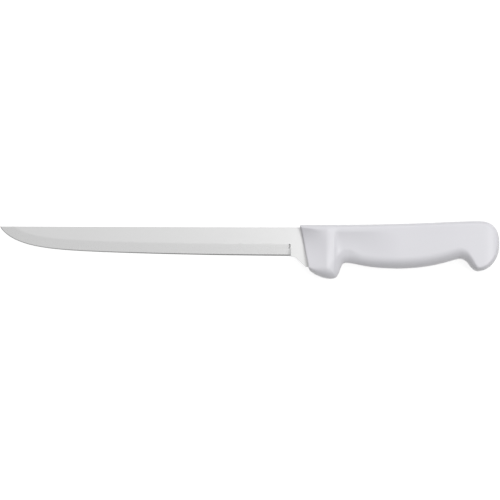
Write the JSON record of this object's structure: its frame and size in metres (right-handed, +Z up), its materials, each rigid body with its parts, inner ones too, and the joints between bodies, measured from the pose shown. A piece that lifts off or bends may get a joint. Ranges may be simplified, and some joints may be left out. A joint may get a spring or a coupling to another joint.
{
  "type": "fillet knife",
  "caption": "Fillet knife on its side: long narrow ground steel blade with a straight spine and upswept tip, in a moulded white plastic handle with a finger guard and a hooked butt.",
  "frame": {"origin": "centre of the bounding box's bottom: under the middle of the knife, on the surface it lies on", "axes": "-X to the blade's tip, +X to the handle's butt, +Y to the spine, +Z up through the blade's thickness"},
  "size_m": [0.3379, 0.039, 0.0204],
  "materials": {
    "blade_steel": "fine satin flats, with a finer ground bevel along the edge",
    "handle_plastic": "smooth satin white polypropylene with a slightly cool tint"
  },
  "bodies": {
    "root": {"blade": "blade_steel", "handle": "handle_plastic"}
  },
  "joints": []
}
